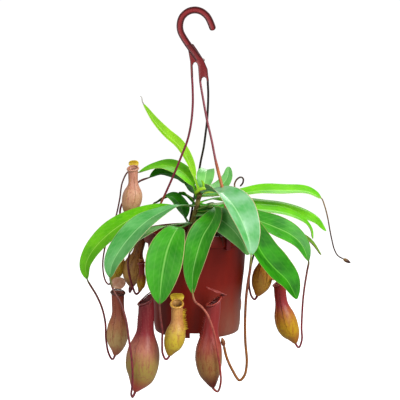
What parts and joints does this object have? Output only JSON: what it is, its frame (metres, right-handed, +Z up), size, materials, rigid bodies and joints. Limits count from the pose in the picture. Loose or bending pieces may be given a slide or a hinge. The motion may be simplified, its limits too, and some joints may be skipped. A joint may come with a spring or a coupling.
{
  "type": "hanging pitcher plant",
  "caption": "Hanging pitcher plant: leafy tropical carnivorous plant with hanging jug-shaped traps, in a moulded plastic pot on a hook hanger with strands.",
  "frame": {"origin": "underside of the hook crown, where the part hangs on its rail", "axes": "+Z up along the hanging line, +X to the viewer's right, +Y away from the viewer"},
  "size_m": [0.3708, 0.2159, 0.4973],
  "materials": {
    "leaf_bright": "living leaf, satin upper side",
    "leaf_gloss": "living leaf, glossy upper side",
    "leaf_dark": "living leaf, deep green",
    "pitcher_tan": "living pitcher wall, tan",
    "pitcher_maroon": "living pitcher wall, red brown",
    "pitcher_yellow": "living pitcher wall, yellow",
    "pitcher_orange": "living pitcher wall, orange",
    "tendril": "living tendril, dull red",
    "hanger_plastic": "moulded plastic, dark crimson",
    "pot_plastic": "moulded plastic, red brown",
    "soil": "loose growing mix",
    "stem": "young stem, olive brown"
  },
  "bodies": {
    "root": {"hook": "hanger_plastic", "strand_left": "hanger_plastic", "strand_front": "hanger_plastic", "strand_back": "hanger_plastic", "pot": "pot_plastic", "soil": "soil", "stem": "stem", "leaf_upper_left": "leaf_bright", "leaf_left_arching": "leaf_bright", "leaf_left_far": "leaf_bright", "leaf_front_left": "leaf_bright", "leaf_right_long": "leaf_bright", "leaf_right_back": "leaf_bright", "leaf_right_inner": "leaf_bright", "leaf_back_right": "leaf_bright", "leaf_young": "leaf_bright", "leaf_far_left": "leaf_bright", "leaf_far_middle": "leaf_bright", "leaf_left_near": "leaf_gloss", "leaf_left_low": "leaf_gloss", "leaf_front": "leaf_gloss", "leaf_front_right": "leaf_gloss", "leaf_low_right": "leaf_gloss", "leaf_right_mid": "leaf_gloss", "leaf_centre_pale": "leaf_gloss", "leaf_left_behind": "leaf_dark", "leaf_shaded_left": "leaf_dark", "leaf_back_left": "leaf_dark", "leaf_right_drooping": "leaf_dark", "leaf_right_olive": "leaf_dark", "leaf_upright": "leaf_dark", "leaf_far_right": "leaf_dark", "pitcher_back_left": "pitcher_tan", "pitcher_left": "pitcher_tan", "pitcher_left_rear": "pitcher_tan", "pitcher_far_left": "pitcher_tan", "pitcher_left_big": "pitcher_maroon", "pitcher_front": "pitcher_maroon", "pitcher_far_right": "pitcher_maroon", "pitcher_yellow": "pitcher_yellow", "pitcher_left_hidden": "pitcher_yellow", "pitcher_right_near": "pitcher_orange", "pitcher_right": "pitcher_orange", "pitcher_small": "pitcher_orange", "tendril_back_left": "tendril", "tendril_left_hidden": "tendril", "tendril_left": "tendril", "tendril_left_big": "tendril", "tendril_yellow": "tendril", "tendril_front": "tendril", "tendril_left_rear": "tendril", "tendril_small": "tendril", "tendril_right_near": "tendril", "tendril_right": "tendril", "tendril_far_left": "tendril", "tendril_far_right": "tendril", "tendril_front_bud": "tendril", "tendril_right_bud": "tendril", "tendril_curl": "tendril"}
  },
  "joints": []
}
